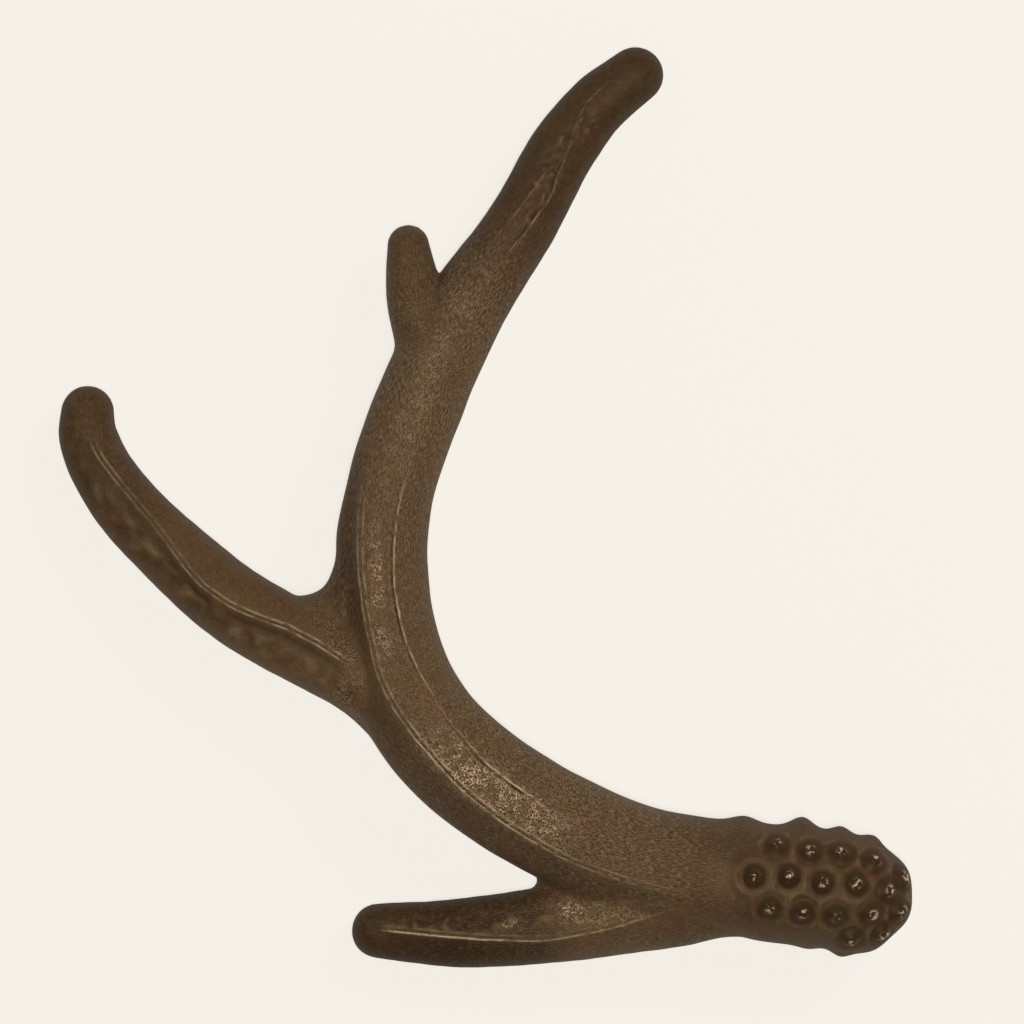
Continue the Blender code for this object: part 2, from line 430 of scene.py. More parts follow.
def pearl_tree():
    """The tree that lifts the skin into pearls, each in its hollow."""
    tree, given = new_tree("raise_pearls", {
        "Ball Centre": "Vector", "Outwards": "Vector", "Sideways": "Vector", "Ball Radius": "Float",
        "Flatness": "Float", "Rings": "Int", "Pearls in Ring": "Int", "Start": "Float", "Pitch": "Float",
        "Turn": "Float", "Scatter": "Float", "Seed": "Int", "Reach": "Float", "Unevenness": "Float",
        "Material": "Material"})
    make, maths, vector = tools(tree)

    index = make("GeometryNodeInputIndex").outputs[0]
    count = maths("ADD", maths("MULTIPLY", given["Rings"], given["Pearls in Ring"]), 1.0)
    past_pole = maths("SUBTRACT", index, 1.0)
    ring = maths("FLOOR", maths("DIVIDE", past_pole, given["Pearls in Ring"]))
    in_ring = maths("SUBTRACT", past_pole, maths("MULTIPLY", ring, given["Pearls in Ring"]))

    def stray(seed):
        """How far a pearl strays from its place, at random."""
        spread = make("FunctionNodeRandomValue", {2: -1.0, 3: 1.0, "ID": index, "Seed": seed},
                      data_type="FLOAT").outputs[1]
        return maths("MULTIPLY", spread, given["Scatter"])

    scatter = stray(given["Seed"])
    swing = maths("DIVIDE", stray(maths("ADD", given["Seed"], 1.0)), given["Ball Radius"])
    walked = maths("ADD", given["Start"], maths("MULTIPLY", ring, given["Pitch"]))
    walked = maths("MULTIPLY", maths("ADD", walked, scatter), maths("GREATER_THAN", index, 0.5))
    quarter = maths("MULTIPLY", given["Ball Radius"], math.pi / 2)
    lean = maths("DIVIDE", maths("MINIMUM", walked, quarter), given["Ball Radius"])
    past = maths("MAXIMUM", maths("SUBTRACT", walked, quarter), 0.0)
    half_steps = maths("ADD", maths("MULTIPLY", in_ring, 2.0), maths("MODULO", ring, 2.0))
    half_turns = maths("DIVIDE", maths("MULTIPLY", half_steps, math.pi), given["Pearls in Ring"])
    turn = maths("ADD", maths("ADD", given["Turn"], half_turns), swing)

    upright = make("ShaderNodeCombineXYZ", {"Z": given["Flatness"]}).outputs[0]
    spoke = vector("SUBTRACT", vector("SCALE", upright, maths("COSINE", turn)),
                   vector("SCALE", given["Sideways"], maths("SINE", turn)))
    facing = vector("ADD", vector("SCALE", given["Outwards"], maths("COSINE", lean)),
                    vector("SCALE", spoke, maths("SINE", lean)))
    middle = vector("SUBTRACT", given["Ball Centre"], vector("SCALE", given["Outwards"], past))
    place = vector("ADD", middle, vector("SCALE", facing, given["Ball Radius"]))
    row = make("GeometryNodeMeshLine", {"Count": count})
    placed = make("GeometryNodeSetPosition", {"Geometry": row.outputs[0], "Position": place})
    at_side = maths("LESS_THAN", maths("ABSOLUTE", maths("COSINE", turn)), SIDE_LIMIT)
    low_row = maths("MULTIPLY", maths("GREATER_THAN", maths("SINE", turn), LOW_SIDE),
                    maths("GREATER_THAN", ring, LOW_RING))
    at_pole = maths("LESS_THAN", index, 0.5)
    left_out = maths("MAXIMUM", maths("MAXIMUM", at_side, low_row), at_pole)
    pearls = make("GeometryNodeDeleteGeometry",
                  {"Geometry": placed.outputs[0], "Selection": left_out}, domain="POINT")

    near = make("GeometryNodeProximity", {"Geometry": pearls.outputs[0]}, target_element="POINTS")
    share = maths("DIVIDE", near.outputs["Distance"], given["Reach"])
    outline = float_curve(tree, share, [
        (out / PEARL_REACH, (up - OUTLINE_FLOOR) / OUTLINE_SPAN) for out, up in PEARL_OUTLINE])
    height = maths("ADD", maths("MULTIPLY", outline, OUTLINE_SPAN * MM), OUTLINE_FLOOR * MM)
    height = maths("MULTIPLY", height, maths("LESS_THAN", near.outputs["Distance"], given["Reach"]))
    here = make("GeometryNodeInputPosition").outputs[0]
    uneven = make("ShaderNodeTexNoise",
                  {"Vector": here, "Scale": LUMPS_PER_M, "Detail": 0.0}).outputs[0]
    uneven = maths("MULTIPLY", maths("SUBTRACT", uneven, 0.5), given["Unevenness"])
    height = maths("MULTIPLY", height, maths("ADD", uneven, 1.0))
    gap = make("GeometryNodeStoreNamedAttribute", {
        "Geometry": given["Geometry"], "Name": "pearl_gap", "Value": near.outputs["Distance"]},
        data_type="FLOAT", domain="POINT")
    kept = make("GeometryNodeStoreNamedAttribute", {
        "Geometry": gap.outputs[0], "Name": "pearl_height", "Value": height},
        data_type="FLOAT", domain="POINT")
    normal = make("GeometryNodeInputNormal").outputs[0]
    stored = make("GeometryNodeInputNamedAttribute", {"Name": "pearl_height"},
                  data_type="FLOAT").outputs[0]
    raised = make("GeometryNodeSetPosition", {
        "Geometry": kept.outputs[0], "Offset": vector("SCALE", normal, stored)})
    finish_tree(tree, raised.outputs[0], given["Material"])
    return tree


BASE_POINTS = 20     # points of the beam's line that give the way the base faces
ball_centre = Vector(LINES["beam"][0, :3])
outwards = (ball_centre - Vector(LINES["beam"][BASE_POINTS, :3])).normalized()
add_tree(skin, pearl_tree(), {
    "Ball Centre": ball_centre * MM, "Outwards": outwards,
    "Sideways": Vector((0, 0, 1)).cross(outwards), "Ball Radius": BRANCHES["beam"][0][3] * MM,
    "Flatness": FLATNESS, "Rings": 10, "Pearls in Ring": 6, "Start": 7.0 * MM, "Pitch": 3.5 * MM,
    "Turn": math.radians(20), "Scatter": 0.45 * MM, "Seed": 4, "Reach": PEARL_REACH * MM,
    "Unevenness": 0.5, "Material": antler_polymer})
skin = plain_mesh(skin, "antler_skin")
pearl_height, pearl_gap = np.zeros((2, len(skin.data.vertices)), np.float32)
skin.data.attributes["pearl_height"].data.foreach_get("value", pearl_height)
skin.data.attributes["pearl_gap"].data.foreach_get("value", pearl_gap)
pearl_height, pearl_gap = pearl_height / MM, pearl_gap / MM
pearled = np.abs(pearl_height) > 0.01
set_places(skin.data, relax(skin.data, vertex_places(skin.data), SMOOTH_SHARE * pearled, 2))
print(f"pearls stand {pearl_height.max():.2f} mm out, in hollows {-pearl_height.min():.2f} mm deep")

# %% [markdown]
# ## Where each part of the skin is on its branch
#
# The creases, the stipple and the long fine streaks all follow the branches, so the sculpting needs to
# know, for every point of the skin, which branch it is on, how far along, how far to the left of the
# line and how far above it. A UV map could hold that, but it would tear at the forks. Here the numbers
# are worked out once, with NumPy, each branch hands over softly to the next, and all the steps share
# them.

# %% Walk every point back to its line
points = vertex_places(skin.data)
BLOCK = 20000        # points measured at a time


def walk(line, places):
    """Each place's share along a line, its shares across and up, its half width, and its nearness."""
    centres, widths = line[:, :3], line[:, 3]
    ahead = np.gradient(centres, axis=0)
    ahead /= np.linalg.norm(ahead, axis=1)[:, None]
    left = np.cross([0, 0, 1], ahead)
    left /= np.linalg.norm(left, axis=1)[:, None]
    up = np.cross(ahead, left)
    nearest = np.empty(len(places), int)
    for start in range(0, len(places), BLOCK):
        gap = places[start:start + BLOCK, None, :] - centres[None]
        nearest[start:start + BLOCK] = (gap**2).sum(axis=2).argmin(axis=1)
    offset = places - centres[nearest]
    along = (offset * ahead[nearest]).sum(axis=1)
    width = widths[nearest]
    across = (offset * left[nearest]).sum(axis=1) / width
    above = (offset * up[nearest]).sum(axis=1) / width / FLATNESS
    run = np.r_[0, np.cumsum(np.linalg.norm(np.diff(centres, axis=0), axis=1))]
    mm = run[nearest] + along
    past_end = np.where((nearest == 0) | (nearest == len(line) - 1), along / width, 0)
    return {"share": (mm / run[-1]).clip(0, 1), "mm": mm, "across": across, "above": above,
            "width": width, "nearness": np.sqrt(across**2 + above**2 + past_end**2)}


places = {name: walk(line, points) for name, line in LINES.items()}
nearness = np.array([places[name]["nearness"] for name in BRANCHES])
FORK_BLEND = 9.0     # how quickly one branch takes over from the other at a fork
belongs = np.exp(-FORK_BLEND * (nearness - nearness.min(axis=0)))
belongs /= belongs.sum(axis=0)
belongs = dict(zip(BRANCHES, belongs))
owner = np.array(list(belongs.values())).argmax(axis=0)
pick = np.arange(len(points))
along, across, above, width = (
    np.array([places[name][what] for name in BRANCHES])[owner, pick]
    for what in ("mm", "across", "above", "width"))
around = np.arctan2(across, above) * width
for name in BRANCHES:
    print(f"{name}: {(belongs[name] > 0.5).mean():.0%} of the skin")

# %% [markdown]
# ## Creases, banks and dents
#
# The mould's face was carved with long creases: two frame a flatter band on the beam, one runs down the
# side tine and one down the brow tine, and two short ones cross on the crown. They could be cut with a
# sculpting brush, but then they would have to be cut again after each change of the shape. Each crease
# here is a line in a branch's own shares, with a bank on each side that drops away steeply at first and
# comes back to the round at the rim. That keeps the outline where the solid model has it. Soft noise
# then adds the dents and lumps that the carver left, and every change is a move along the skin's normal.

# %% The creases
def crease(branch, path, left_drop, right_drop, outside=1, ridge=0.12, twin=0.5, dark=1.0):
    """A crease: how far the skin falls away on its left and right, in mm, on which side its outside
    is, how high its crest stands, in mm, and how strong its second pale line and its dark line are."""
    return {"branch": branch, "path": np.array(path), "left_drop": left_drop,
            "right_drop": right_drop, "outside": outside, "ridge": ridge, "twin": twin, "dark": dark}


CREASES = (          # each point: share along, share across, and how crisp the fine lines are there
    # the beam's outer crease, from the base past the bend
    crease("beam", ((0.12, 0.42, 0.1), (0.17, 0.40, 0.3), (0.23, 0.46, 0.5), (0.29, 0.41, 1.0),
                    (0.33, 0.36, 1.3), (0.37, 0.28, 1.3), (0.40, 0.31, 0.8), (0.44, 0.44, 0.5),
                    (0.49, 0.52, 0.6), (0.53, 0.57, 0.6), (0.58, 0.64, 0.3), (0.62, 0.64, 0.0)),
           left_drop=0.85, right_drop=0.0, ridge=0.16, twin=0.7),
    # its inner crease
    crease("beam", ((0.24, 0.05, 0.0), (0.26, -0.15, 0.3), (0.28, -0.27, 1.2), (0.305, -0.29, 1.8),
                    (0.33, -0.31, 1.8), (0.350, -0.37, 1.0), (0.365, -0.41, 0.25), (0.415, -0.44, 0.3),
                    (0.437, -0.38, 0.8), (0.466, -0.29, 1.2), (0.51, -0.24, 1.3), (0.55, -0.26, 0.8),
                    (0.60, -0.30, 0.4), (0.64, -0.33, 0.0)),
           left_drop=0.0, right_drop=0.42, outside=-1, twin=0.1),
    # the crown's two creases
    crease("beam", ((0.78, -0.12, 0.1), (0.822, -0.17, 0.3), (0.833, -0.25, 0.3), (0.847, -0.27, 0.4),
                    (0.862, -0.35, 0.3), (0.874, -0.38, 0.25), (0.886, -0.28, 0.3), (0.90, -0.26, 0.2),
                    (0.915, -0.12, 0.1), (0.932, 0.09, 0.1), (0.95, 0.28, 0.2), (0.963, 0.30, 0.35),
                    (0.975, 0.32, 0.35), (0.985, 0.36, 0.0)),
           left_drop=0.0, right_drop=0.1, outside=-1, ridge=0.08, twin=0.0, dark=3.5),
    crease("beam", ((0.79, 0.42, 0.1), (0.82, 0.38, 0.18), (0.843, 0.29, 0.18), (0.868, 0.17, 0.2),
                    (0.888, 0.08, 0.2), (0.902, 0.12, 0.12), (0.917, 0.29, 0.1)),
           left_drop=0.08, right_drop=0.0, ridge=0.1, twin=0.0),
    crease("side_tine", ((0.10, -0.05, 0.8), (0.20, -0.16, 0.85), (0.277, -0.17, 0.75),
                         (0.349, -0.03, 0.65), (0.422, 0.10, 0.6), (0.492, 0.15, 0.5),
                         (0.551, 0.07, 0.4), (0.616, -0.08, 0.25), (0.682, -0.21, 0.2),
                         (0.764, -0.26, 0.25), (0.841, -0.18, 0.4), (0.893, -0.10, 0.45),
                         (0.94, -0.03, 0.3)),
           left_drop=0.3, right_drop=0.12, ridge=0.2, twin=0.8),
    crease("brow_tine", ((0.14, 0.08, 0.2), (0.254, 0.17, 0.6), (0.322, 0.26, 0.7), (0.389, 0.30, 0.7),
                         (0.454, 0.33, 0.7), (0.52, 0.37, 0.6), (0.585, 0.33, 0.8), (0.64, 0.25, 1.6),
                         (0.70, 0.18, 2.0), (0.764, 0.09, 2.0), (0.842, 0.03, 2.0), (0.907, -0.01, 1.8),
                         (0.95, -0.04, 1.8), (0.995, -0.07, 1.6)),
           left_drop=0.4, right_drop=0.2, ridge=0.16, twin=0.12, dark=0.4),
)
END_FADE = 0.05      # share along a branch over which a crease fades in and out
CREST_WIDTH = 0.55   # mm
PLAIN_RIM, RIM_FADE = 0.15, 0.3   # shares up from the parting plane that stay plain, and then fade in


def off_the_rim(place):
    """1 on the upper and lower faces, and 0 near the parting plane."""
    return ramp(np.abs(place["above"]), PLAIN_RIM, RIM_FADE)


def carve(cut, place, share_of_skin):
    """A crease's move of each point and the points' distances off it, in mm, then how much it counts
    at each point and how crisp its fine lines are there."""
    share, across, width = place["share"], place["across"], place["width"]
    line = np.interp(share, cut["path"][:, 0], cut["path"][:, 1])
    first, last = cut["path"][[0, -1], 0]
    shown = ramp(share, first, END_FADE) * ramp(share, last, -END_FADE)
    shown = shown * share_of_skin * off_the_rim(place)
    off = (across - line) * width
    left, right = ramp(across, line, 1 - line), ramp(across, line, -1 - line)
    move = -cut["left_drop"] * hump(left) - cut["right_drop"] * hump(right)
    move = move + cut["ridge"] * bell(off, 0, CREST_WIDTH)
    crisp = shown * np.interp(share, cut["path"][:, 0], cut["path"][:, 2])
    return shown * move, off * cut["outside"], shown, crisp


move = np.zeros(len(points))
FAR_OFF = 99.0       # mm: what a point with no crease near it keeps
crease_off = np.full(len(points), FAR_OFF)
crease_shown, crease_crisp, crease_twin, crease_dark = np.zeros((4, len(points)))
for cut in CREASES:
    moved, off, shown, crisp = carve(cut, places[cut["branch"]], belongs[cut["branch"]])
    move += moved
    closer = (np.abs(off) < np.abs(crease_off)) & (shown > 0.02)
    crease_off[closer] = off[closer]
    crease_shown[closer] = shown[closer]
    crease_crisp[closer] = crisp[closer]
    crease_twin[closer], crease_dark[closer] = cut["twin"], cut["dark"]

# %% A groove beside the side tine's crest, and the beam's flatter band
OUTER_CREASE, INNER_CREASE, SIDE_CREASE = CREASES[0], CREASES[1], CREASES[4]
GROOVE_DEPTH, GROOVE_PLACE, GROOVE_WIDTH = 0.45, 1.9, 1.0        # mm
GROOVE_RUN = ((0.1, 0.4), (0.2, 1), (0.55, 0.8), (0.8, 0.1))     # share along, share of the depth
BAND_FLATTENING = 0.3                                            # mm
BAND_RUN = ((0.24, 0), (0.34, 1), (0.56, 1), (0.64, 0))          # share along, share of the flattening


def along_branch(pairs, share):
    """A value at each share along a branch, from pairs of a share and its value."""
    return np.interp(share, *np.array(pairs).T)


tine, beam = places["side_tine"], places["beam"]
_, tine_off, tine_shown, _ = carve(SIDE_CREASE, tine, belongs["side_tine"])
groove = GROOVE_DEPTH * along_branch(GROOVE_RUN, tine["share"]) * tine_shown
groove = groove * bell(tine_off, GROOVE_PLACE, GROOVE_WIDTH)
outer, inner = (along_branch(cut["path"][:, :2], beam["share"]) for cut in (OUTER_CREASE, INNER_CREASE))
in_band = ramp(beam["across"], inner, outer - inner)
band_shown = along_branch(BAND_RUN, beam["share"]) * belongs["beam"] * off_the_rim(beam)
move -= groove + BAND_FLATTENING * hump(in_band) * band_shown
print(f"creases, banks, groove and band move the skin by {move.min():.2f} to {move.max():.2f} mm")


# %% Dents, lumps and a slight waviness
SEED_STEP = Vector((17.3, 5.1, 9.7))     # how far apart two seeds are in the noise
NOISE_SPAN = 1.6                         # brings the noise to about -1 to 1


def soft_noise(places, seed):
    """Smooth noise between about -1 and 1 at a list of places, with lumps about 1 across."""
    shift = SEED_STEP * seed
    return np.array([noise.noise(Vector(place) + shift) for place in places]) * NOISE_SPAN


def by_branch(curves):
    """A value for each point of the skin, from (share along, value) pairs for each branch."""
    return sum(belongs[name] * along_branch(pairs, places[name]["share"])
               for name, pairs in curves.items())


# Branch: the dents' depth along it in mm, the shares across that they lie between, and how long and
# how wide a dent is, in mm.
DENTS = {
    "beam": (((0.82, 0), (0.86, 0.26), (0.93, 0.22), (0.97, 0.05), (1, 0)), (-0.5, 0.45), (1.3, 1.0)),
    "side_tine": (((0, 0.1), (0.15, 0.32), (0.85, 0.3), (0.95, 0.08)), (0.12, 0.8), (2.9, 2.0)),
    "brow_tine": (((0.35, 0), (0.5, 0.24), (0.92, 0.34), (1, 0)), (-0.7, 0.1), (2.2, 1.9)),
}
DENT_FADE = 0.2      # share across over which the dents fade in and out
RIM_DENTS = 0.3      # share of the dents that is left at the parting plane
BRANCH_SHIFT = 9.0   # keeps one branch's noise apart from the next one's
WAVE_HEIGHT, WAVE_LENGTH = 0.08, 7.0     # mm, of the slight waviness all over

dents = np.zeros(len(points))
for name, (depths, (low, high), (length, breadth)) in DENTS.items():
    place = places[name]
    window = ramp(place["across"], low, DENT_FADE) * ramp(place["across"], high, -DENT_FADE)
    window = window * np.clip(np.abs(place["above"]) / RIM_FADE, RIM_DENTS, 1)
    lumps = soft_noise(np.column_stack([along / length, around / breadth, BRANCH_SHIFT * owner]), 1)
    dents += along_branch(depths, place["share"]) * belongs[name] * window * lumps
move += dents + WAVE_HEIGHT * soft_noise(points / WAVE_LENGTH, 2)
print(f"dents and lumps go from {dents.min():.2f} to {dents.max():.2f} mm")

# %% Mounds on the base's sides, and the parting line
SIDE_MOUNDS = (      # x, y, how far it stands out, and half its length, in mm
    (79.9, -67.8, 1.5, 2.3), (73.0, -67.6, 1.4, 2.4), (64.8, -66.8, 2.0, 2.9), (53.0, -65.2, 1.2, 3.2),
    (66.0, -67.0, 0.75, 9.0), (73.0, -91.2, 1.5, 2.5), (66.3, -90.7, 0.6, 2.6), (79.0, -90.6, 1.2, 4.2),
    (86.2, -83.5, 1.5, 5.5), (85.6, -75.2, 1.0, 4.5), (48.5, -89.0, -0.8, 5.0),
)
MOUND_STRETCH = 1.7  # how much taller a mound is than it is long
MOUND_DRAFT = 0.5    # share of a mound that is gone at the top of the base, so that the mould lets go
for x, y, height, reach in SIDE_MOUNDS:
    gap = (points - (x, y, BRANCHES["beam"][0][2])) / (reach, reach, reach * MOUND_STRETCH)
    draft = 1 - MOUND_DRAFT * np.clip(np.abs(above), 0, 1)
    move += height * np.exp(-(gap**2).sum(axis=1)) * draft

PARTING_RISE, PARTING_WIDTH = 0.12, 0.4  # mm
parting = np.zeros(len(points))
for name, place in places.items():
    parting += belongs[name] * place["above"] * place["width"] * FLATNESS
move += PARTING_RISE * bell(parting, 0, PARTING_WIDTH)
print(f"all the sculpting moves the skin by {move.min():.2f} to {move.max():.2f} mm")

# %% Move the skin
normals = np.zeros(3 * len(points), np.float32)
skin.data.vertices.foreach_get("normal", normals)
normals = normals.reshape(-1, 3)
points = points + normals * move[:, None]
set_places(skin.data, points)

# %% [markdown]
# ## What the finish needs to know
#
# The real cast isn't finished the same all over: the band and the forks are stippled, the shaft is
# streaked along its grain, and the pearls and tips are polished. On top of these, painted shade darkens
# the pearls' hollows, the side tine's groove, the dents and the beam's outer flank, and painted
# highlights lighten the pearls' crowns, the rims round the hollows and the raised lumps. Painting a
# texture would need a flat map of the skin. Instead, how strong each finish and each painted mark is at
# a point is worked out from its place on its branch, and kept as an attribute of the skin. The material
# reads them, and they stay put whatever the view.

# %% How strong each finish is along each branch
STIPPLE = {          # (share along, strength) pairs
    "beam": ((0, 0), (0.13, 0.1), (0.2, 0.5), (0.26, 0.8), (0.36, 0.7), (0.42, 0.5), (0.5, 0.4),
             (0.62, 0.4), (0.76, 0.35), (0.83, 0.1), (1, 0.05)),
    "side_tine": ((0, 0.8), (0.15, 0.6), (0.28, 0.15), (1, 0.12)),
    "brow_tine": ((0, 0.2), (0.3, 0.8), (0.45, 0.35), (0.6, 0.12), (1, 0.08)),
    "spur_tine": ((0, 0.8), (0.5, 0.4), (1, 0.15)),
}
STREAKS = {
    "beam": ((0, 0), (0.1, 0.2), (0.15, 0.8), (0.30, 0.55), (0.42, 0.35), (0.6, 0.7), (0.76, 1.0),
             (0.80, 0.5), (0.85, 0.1), (1, 0.05)),
    "side_tine": ((0, 0.2), (1, 0.15)),
    "brow_tine": ((0, 0.5), (0.4, 0.4), (1, 0.1)),
    "spur_tine": ((0, 0.5), (1, 0.3)),
}
TONE = {             # above 0 the cast is paler there, and below 0 it is darker
    "beam": ((0, -0.15), (0.12, -0.15), (0.17, 0.3), (0.3, 0.25), (0.42, 0.3), (0.55, 0.3),
             (0.65, 0.4), (0.74, 0.2), (0.80, -0.3), (0.86, -0.5), (1, -0.55)),
    "side_tine": ((0, 0.35), (0.2, 0.2), (0.6, 0.0), (0.8, -0.25), (1, -0.4)),
    "brow_tine": ((0, -0.1), (0.3, 0.25), (0.44, 0.35), (0.56, -0.7), (0.8, -0.95), (1, -0.7)),
    "spur_tine": ((0, 0.25), (1, -0.1)),
}
GLITTER = (          # branch, shares along, shares across, and how strongly the stipple glitters there
    ("beam", (0.255, 0.37), (-0.3, 0.36), 1.0),
    ("beam", (0.45, 0.56), (0.02, 0.32), 0.55),
    ("beam", (0.60, 0.78), (-0.25, 0.35), 0.25),
    ("brow_tine", (0.42, 0.49), (-0.5, -0.2), 1.0),
    ("brow_tine", (0.27, 0.50), (-0.8, 0.15), 0.35),
    ("brow_tine", (0.61, 0.65), (-0.3, -0.12), 0.9),
)
print(len(GLITTER), "patches glitter, and the rest of the stipple is satin")


# %% Keep the finishes, and the outer flank's painted shade, as attributes
def keep(name, values):
    """Stores one number for each point of the skin."""
    layer = skin.data.attributes.new(name, "FLOAT", "POINT")
    layer.data.foreach_set("value", np.asarray(values, np.float32))


off_pearls = 1 - ramp(np.abs(pearl_height), 0, 0.1)
surest = np.array(list(belongs.values())).max(axis=0)
by_crease = ramp(crease_shown, 0, 0.5)

FLANK_STIPPLE = {"outer": 0.3, "inner": 0.8}     # beside the band, as a share of what is on it
beside = np.where(beam["across"] > 0, FLANK_STIPPLE["outer"], FLANK_STIPPLE["inner"])
on_band = 1 - (1 - beside) * ramp(crease_off, -0.3, 0.6) * by_crease
keep("stipple", by_branch(STIPPLE) * off_pearls * on_band)
keep("streaks", by_branch(STREAKS) * off_pearls * ramp(surest, 0.5, 0.5))

PATCH_EDGE = 1.8     # how steeply a patch of glitter ends


def patch(values, start, end):
    """1 from near the start to near the end, and 0 beyond them."""
    return np.exp(-((values - (start + end) / 2) / (end - start) * PATCH_EDGE) ** 4)


glitter = np.zeros(len(points))
for name, shares_along, shares_across, strength in GLITTER:
    place = places[name]
    window = patch(place["share"], *shares_along) * patch(place["across"], *shares_across)
    glitter = np.maximum(glitter, strength * window * belongs[name] * (place["above"] > 0))
keep("glitter", glitter)

# painted shade: the beam's outer flank, beyond its outer crease, is darkened, and the tone attribute
# carries it with the branches' own tones
OUTER_FLANK_SHADE, OUTER_FLANK_END = -0.25, 0.75
outer_flank_shade = ramp(crease_off, 0.5, 1.5) * by_crease * belongs["beam"]
outer_flank_shade = outer_flank_shade * (beam["across"] > 0) * (beam["share"] < OUTER_FLANK_END)
keep("tone_and_shade", by_branch(TONE) * (1 - outer_flank_shade) + OUTER_FLANK_SHADE * outer_flank_shade)

# %% Keep the pearls' polish, their painted highlights and painted shade, the crease lines and the grain
HOLLOW_EDGE = 3.3    # mm from a pearl's middle to where the painted shade of its hollow ends
HOLLOW_WOBBLE = 0.35 # mm that this edge strays from a circle
RIM_PLACE, RIM_WIDTH = 3.65, 0.35        # mm, of the painted highlight along the rim round a hollow
WOBBLE_SIZE, RIM_BREAKS = 1.8, 2.6       # mm, of the lumps in the two noises
HOLLOW_SHADE, GROOVE_SHADE = 0.8, 1.6      # how much painted shade darkens a hollow, and a groove for each mm of its depth
FULL_DENT = 0.2      # mm that count as a full lump

uneven_gap = pearl_gap + HOLLOW_WOBBLE * soft_noise(points / WOBBLE_SIZE, 3)
in_hollow = ramp(uneven_gap, HOLLOW_EDGE, -0.8)
rim_highlights = bell(uneven_gap, RIM_PLACE, RIM_WIDTH)
rim_highlights = rim_highlights * np.clip(0.6 + 0.8 * soft_noise(points / RIM_BREAKS, 5), 0, 1)
keep("polish", ramp(pearl_height, 1.0, 0.4))
# painted glints: pale spots of colour on the pearls' crowns
keep("painted_crown_glints", ramp(pearl_gap, 1.2, -0.6))
# painted shade in the pearls' hollows and in the side tine's groove
keep("hollow", np.clip(HOLLOW_SHADE * in_hollow + GROOVE_SHADE * groove, 0, 1))
# painted light on the relief: paler on the raised lumps and the rims round the hollows, and painted
# shade in the dents
keep("lumps", np.clip(dents / FULL_DENT + rim_highlights, -1, 1))

FAR_ENOUGH = 20.0    # mm off a crease, past which the distance no longer matters
keep("crease_off", crease_off.clip(-FAR_ENOUGH, FAR_ENOUGH))
keep("crease_crisp", crease_crisp)
keep("crease_twin", crease_twin)
keep("crease_dark", crease_dark)
GRAIN_SHIFT = 40.0   # mm that keep one branch's grain apart from the next one's
grain = skin.data.attributes.new("grain", "FLOAT_VECTOR", "POINT")
grain_places = np.column_stack([along, around, GRAIN_SHIFT * owner])
grain.data.foreach_set("vector", grain_places.astype(np.float32).ravel())
print("attributes:", ", ".join(layer.name for layer in skin.data.attributes if layer.domain == "POINT"))

# %% [markdown]
# ## Sawing the skin at the forks
#
# The solid model is sawn at the three forks, and each of its solids gets its own piece of skin. Four
# separate skins would never quite meet, so the one skin is cut instead. The cuts are the same as the
# solids', but with no gap, so the pieces meet exactly and the cast looks whole.

# %% Cut the skin and cap the cuts
SAW_CUTS = {         # the middle of the cut, the way the tine goes from there, and how wide the cut is
    "side_tine": ((-38.3, -26.5), (-0.97, 0.25), 90.0),
    "brow_tine": ((9.0, -88.3), (-1.0, -0.03), 21.0),
    "spur_tine": ((-13.8, 41.0), (-0.8, 0.6), 28.0),
}
CUT_BAND = 3.0       # mm each side of a cut that the saw looks at


def beyond(middle, direction, width, place):
    """How far a place is beyond a cut, and whether it is within the cut's width."""
    ahead = Vector((*direction, 0)).normalized()
    offset = Vector((place.x / MM - middle[0], place.y / MM - middle[1], 0))
    return offset.dot(ahead), abs(ahead.cross(offset).z) < width / 2


shape = bmesh.new()
shape.from_mesh(skin.data)
for middle, direction, width in SAW_CUTS.values():
    band = []
    for face in shape.faces:
        far, inside = beyond(middle, direction, width, face.calc_center_median())
        if inside and abs(far) < CUT_BAND:
            band.append(face)
    edges = {edge for face in band for edge in face.edges}
    corners = {corner for face in band for corner in face.verts}
    bmesh.ops.bisect_plane(shape, geom=[*band, *edges, *corners], dist=1e-8,
                           plane_co=Vector((*middle, 0)) * MM, plane_no=Vector((*direction, 0)))
whole = bpy.data.meshes.new("whole_skin")
shape.to_mesh(whole)
shape.free()


def piece_of(face):
    """The name of the solid that a face of the skin belongs to."""
    for name, cut in SAW_CUTS.items():
        far, inside = beyond(*cut, face.calc_center_median())
        if inside and far > 0:
            return name
    return "beam"


def sawn_piece(name):
    """One piece of the skin, with its cuts capped."""
    part = bmesh.new()
    part.from_mesh(whole)
    others = [face for face in part.faces if piece_of(face) != name]
    bmesh.ops.delete(part, geom=others, context="FACES")
    open_edges = [edge for edge in part.edges if edge.is_boundary]
    caps = bmesh.ops.edgeloop_fill(part, edges=open_edges)["faces"]
    for edge in open_edges:
        edge.smooth = False
    bmesh.ops.triangulate(part, faces=caps)
    for face in part.faces:
        face.smooth = True
    mesh = bpy.data.meshes.new(f"{name}_skin")
    part.to_mesh(mesh)
    loose = sum(not edge.is_manifold for edge in part.edges)
    part.free()
    mesh.materials.clear()
    mesh.materials.append(antler_polymer)
    print(f"{mesh.name}: {len(mesh.polygons)} faces, {len(caps)} caps, {loose} open edges")
    return in_scene(mesh.name, mesh)


pieces = {name: sawn_piece(name) for name in BRANCHES}
bpy.data.objects.remove(skin)

# %% [markdown]
# ## Laying the skin on the solids
#
# The solid model was moved a little after it was cast, so that the middle of its box's underside is at
# the origin. The skin is moved the same way, and pressed in by a hair wherever its box is the larger,
# so that it lies inside the solid model's box. The gap to the solids is then measured all over.

# %% Move, fit and measure
SOLID_MOVE = np.array((0.60, -0.12, -0.04))     # mm
SAMPLE_STEP = 40     # every so many points are measured

